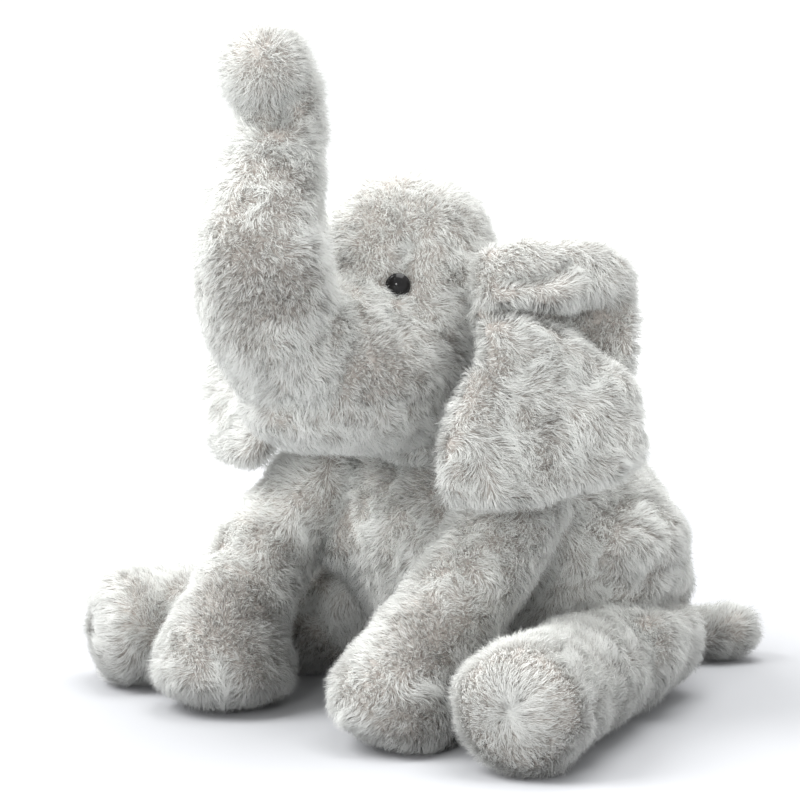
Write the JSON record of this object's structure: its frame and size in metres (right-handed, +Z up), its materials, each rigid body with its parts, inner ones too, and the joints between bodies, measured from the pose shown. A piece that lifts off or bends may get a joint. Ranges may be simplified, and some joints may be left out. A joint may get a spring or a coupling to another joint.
{
  "type": "stuffed elephant",
  "caption": "Soft plush elephant sitting on its haunches with its trunk raised, large floppy ears and a tufted tail.",
  "frame": {"origin": "on the floor under the middle plane, between the hips, where the seat panel rests", "axes": "+Z up, the elephant faces -Y, +X is its left side"},
  "size_m": [0.3383, 0.3513, 0.345],
  "materials": {
    "plush": "matte",
    "pale_plush": "matte",
    "wadding": "matte",
    "pouch_cotton": "matte",
    "eye_plastic": "gloss",
    "washer_plastic": "matte"
  },
  "bodies": {
    "body": {"body_panel_left": "plush", "body_panel_right": "plush", "belly_panel": "pale_plush", "seat_panel": "plush", "body_filling": "wadding", "pellet_pouch": "pouch_cotton"},
    "head": {"head_panel_left": "plush", "head_panel_right": "plush", "head_gusset": "plush", "chin_panel": "pale_plush", "head_filling": "wadding", "eye_left": "eye_plastic", "eye_right": "eye_plastic", "eye_washer_left": "washer_plastic", "eye_washer_right": "washer_plastic"},
    "trunk": {"trunk_skin": "plush", "trunk_filling": "wadding"},
    "trunk_tip": {"trunk_tip_skin": "plush", "trunk_tip_panel": "pale_plush", "trunk_tip_filling": "wadding"},
    "ear_left": {"ear_front_left": "pale_plush", "ear_back_left": "plush"},
    "ear_right": {"ear_front_right": "pale_plush", "ear_back_right": "plush"},
    "tail": {"tail_skin": "plush", "tail_filling": "wadding"},
    "front_leg_left": {"front_leg_skin_left": "plush", "front_sole_left": "plush", "front_leg_filling_left": "wadding"},
    "hind_leg_left": {"hind_leg_skin_left": "plush", "hind_sole_left": "pale_plush", "hind_leg_filling_left": "wadding"},
    "front_leg_right": {"front_leg_skin_right": "plush", "front_sole_right": "plush", "front_leg_filling_right": "wadding"},
    "hind_leg_right": {"hind_leg_skin_right": "plush", "hind_sole_right": "pale_plush", "hind_leg_filling_right": "wadding"}
  },
  "joints": [
    {"name": "head_nod", "type": "hinge", "parent": "body", "child": "head", "pos_m": [0, -0.014, 0.15], "axis": [1, 0, 0], "range_deg": [-10, 3], "stiffness_Nm_per_rad": 6},
    {"name": "trunk_bend", "type": "hinge", "parent": "head", "child": "trunk", "pos_m": [0, -0.118, 0.182], "axis": [1, 0, 0], "range_deg": [-5, 12], "stiffness_Nm_per_rad": 3},
    {"name": "trunk_tip_curl", "type": "hinge", "parent": "trunk", "child": "trunk_tip", "pos_m": [0, -0.141, 0.287], "axis": [1, 0, 0], "range_deg": [-12, 12], "stiffness_Nm_per_rad": 0.8},
    {"name": "ear_lift_left", "type": "hinge", "parent": "head", "child": "ear_left", "pos_m": [0.053, -0.04, 0.215], "axis": [-0.5, -0.866, 0], "range_deg": [0, 35], "stiffness_Nm_per_rad": 1},
    {"name": "ear_lift_right", "type": "hinge", "parent": "head", "child": "ear_right", "pos_m": [-0.053, -0.04, 0.215], "axis": [-0.9659, 0.2588, 0], "range_deg": [0, 35], "stiffness_Nm_per_rad": 1},
    {"name": "front_leg_swing_left", "type": "hinge", "parent": "body", "child": "front_leg_left", "pos_m": [0.061, -0.036, 0.108], "axis": [1, 0, 0], "range_deg": [-14, 1], "stiffness_Nm_per_rad": 3},
    {"name": "front_leg_swing_right", "type": "hinge", "parent": "body", "child": "front_leg_right", "pos_m": [-0.061, -0.036, 0.108], "axis": [1, 0, 0], "range_deg": [-14, 1], "stiffness_Nm_per_rad": 3},
    {"name": "hind_leg_splay_left", "type": "hinge", "parent": "body", "child": "hind_leg_left", "pos_m": [0.088, 0, 0.0305], "axis": [0, 0, 1], "range_deg": [0, 15], "stiffness_Nm_per_rad": 3},
    {"name": "hind_leg_splay_right", "type": "hinge", "parent": "body", "child": "hind_leg_right", "pos_m": [-0.088, 0, 0.0305], "axis": [0, 0, -1], "range_deg": [0, 15], "stiffness_Nm_per_rad": 3},
    {"name": "tail_swing", "type": "hinge", "parent": "body", "child": "tail", "pos_m": [0.012, 0.112, 0.016], "axis": [0, 0, 1], "range_deg": [-12, 12], "stiffness_Nm_per_rad": 0.5}
  ]
}
